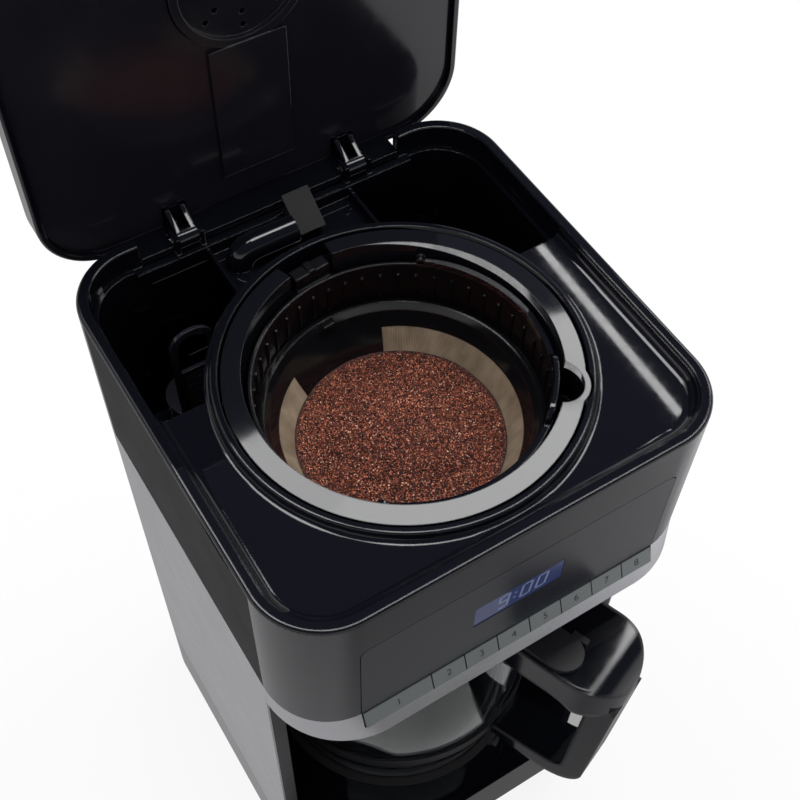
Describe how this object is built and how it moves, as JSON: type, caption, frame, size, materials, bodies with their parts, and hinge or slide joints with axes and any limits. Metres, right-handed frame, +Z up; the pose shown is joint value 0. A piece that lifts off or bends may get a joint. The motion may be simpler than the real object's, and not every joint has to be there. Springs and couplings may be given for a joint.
{
  "type": "drip coffee maker",
  "caption": "Drip coffee maker with a rear-hinged top lid, lift-out brew basket with a cone filter, side tank mouths, a row of front buttons and a glass carafe on a warming plate",
  "frame": {"origin": "middle of the bounding box in plan, on the resting surface", "axes": "+Z up, -Y the front with the display and buttons, +X to the right seen from the front"},
  "size_m": [0.2, 0.2589, 0.534],
  "materials": {
    "gloss_black": "high gloss black with a faint blue tint",
    "black_plastic": "satin moulded black",
    "chamber_black": "gloss black",
    "side_grey": "fine matte dark grey",
    "stainless": "brushed",
    "panel_grey": "satin dark grey",
    "display_blue": "clear front over a blue display",
    "display_case": "plain",
    "button_grey": "satin grey-green paint",
    "circuit_green": "solder resist",
    "rubber_black": "matte",
    "silicone_pale": "translucent pale silicone",
    "silicone_red": "matte",
    "aluminium": "as cast",
    "pin_steel": "turned",
    "plate_coating": "non-stick coating",
    "ceramic": "unglazed",
    "valve_white": "natural",
    "spring_steel": "bright wire",
    "gold_mesh": "fine gold-toned mesh",
    "grounds": "loose coffee grounds, matte",
    "glass": "clear"
  },
  "bodies": {
    "machine": {"base_housing": "gloss_black", "bottom_cover": "black_plastic", "rubber_feet": "rubber_black", "bottom_screws": "pin_steel", "cord_gland": "rubber_black", "warming_plate": "plate_coating", "plate_seal": "rubber_black", "heater": "aluminium", "heater_clamp": "aluminium", "thermostat": "ceramic", "power_board": "circuit_green", "inlet_hose": "silicone_pale", "outlet_hose": "silicone_pale", "column_housing": "black_plastic", "steel_wrap": "stainless", "head_base": "black_plastic", "front_band": "stainless", "head_shell": "gloss_black", "side_trim_left": "side_grey", "side_trim_right": "side_grey", "front_panel": "panel_grey", "lcd_window": "display_blue", "lcd_module": "display_case", "control_board": "circuit_green", "button_board": "circuit_green", "top_deck": "gloss_black", "water_tank": "gloss_black", "tank_column": "gloss_black", "riser_tube": "pin_steel", "spout_tube": "gloss_black", "spout_flap": "black_plastic", "brew_chamber": "chamber_black", "hinge_pins": "pin_steel"},
    "lid": {"lid_shell": "gloss_black", "lid_liner": "gloss_black", "lid_duct": "gloss_black"},
    "key_1": {"button_1": "button_grey"},
    "key_2": {"button_2": "button_grey"},
    "key_3": {"button_3": "button_grey"},
    "key_4": {"button_4": "button_grey"},
    "key_5": {"button_5": "button_grey"},
    "key_6": {"button_6": "button_grey"},
    "key_7": {"button_7": "button_grey"},
    "key_8": {"button_8": "button_grey"},
    "basket": {"brew_basket": "black_plastic", "valve_spring": "spring_steel"},
    "bail": {"basket_handle": "gloss_black"},
    "valve": {"drip_valve": "valve_white", "valve_seal": "silicone_red"},
    "filter": {"filter_frame": "black_plastic", "filter_mesh": "gold_mesh", "coffee_grounds": "grounds"},
    "tank_filter": {"water_filter_holder": "black_plastic"},
    "carafe": {"carafe_glass": "glass", "carafe_collar": "black_plastic", "carafe_handle": "gloss_black", "carafe_lid": "black_plastic", "carafe_lever": "black_plastic"}
  },
  "joints": [
    {"name": "lid_hinge", "type": "hinge", "parent": "machine", "child": "lid", "pos_m": [0, 0.106, 0.3375], "axis": [1, 0, 0], "range_deg": [0, 90]},
    {"name": "key_1_press", "type": "slide", "parent": "machine", "child": "key_1", "axis": [0, 0.942, -0.3356], "range_m": [0, 0.0006], "stiffness_N_per_m": 300},
    {"name": "key_2_press", "type": "slide", "parent": "machine", "child": "key_2", "axis": [0, 0.942, -0.3356], "range_m": [0, 0.0006], "stiffness_N_per_m": 300},
    {"name": "key_3_press", "type": "slide", "parent": "machine", "child": "key_3", "axis": [0, 0.942, -0.3356], "range_m": [0, 0.0006], "stiffness_N_per_m": 300},
    {"name": "key_4_press", "type": "slide", "parent": "machine", "child": "key_4", "axis": [0, 0.942, -0.3356], "range_m": [0, 0.0006], "stiffness_N_per_m": 300},
    {"name": "key_5_press", "type": "slide", "parent": "machine", "child": "key_5", "axis": [0, 0.942, -0.3356], "range_m": [0, 0.0006], "stiffness_N_per_m": 300},
    {"name": "key_6_press", "type": "slide", "parent": "machine", "child": "key_6", "axis": [0, 0.942, -0.3356], "range_m": [0, 0.0006], "stiffness_N_per_m": 300},
    {"name": "key_7_press", "type": "slide", "parent": "machine", "child": "key_7", "axis": [0, 0.942, -0.3356], "range_m": [0, 0.0006], "stiffness_N_per_m": 300},
    {"name": "key_8_press", "type": "slide", "parent": "machine", "child": "key_8", "axis": [0, 0.942, -0.3356], "range_m": [0, 0.0006], "stiffness_N_per_m": 300},
    {"name": "basket_lift", "type": "slide", "parent": "machine", "child": "basket", "axis": [0, 0, 1], "range_m": [0, 0.12]},
    {"name": "bail_hinge", "type": "hinge", "parent": "basket", "child": "bail", "pos_m": [0, -0.0025, 0.3352], "axis": [-0.6293, -0.7771, 0], "range_deg": [0, 90]},
    {"name": "drip_valve_lift", "type": "slide", "parent": "basket", "child": "valve", "axis": [0, 0, 1], "range_m": [0, 0.003], "stiffness_N_per_m": 200, "deforming": ["valve_spring"]},
    {"name": "filter_lift", "type": "slide", "parent": "basket", "child": "filter", "axis": [0, 0, 1], "range_m": [0, 0.14]},
    {"name": "tank_filter_lift", "type": "slide", "parent": "machine", "child": "tank_filter", "axis": [0, 0, 1], "range_m": [0, 0.105]},
    {"name": "carafe_pull", "type": "slide", "parent": "machine", "child": "carafe", "axis": [0, -1, 0], "range_m": [0, 0.2]}
  ]
}
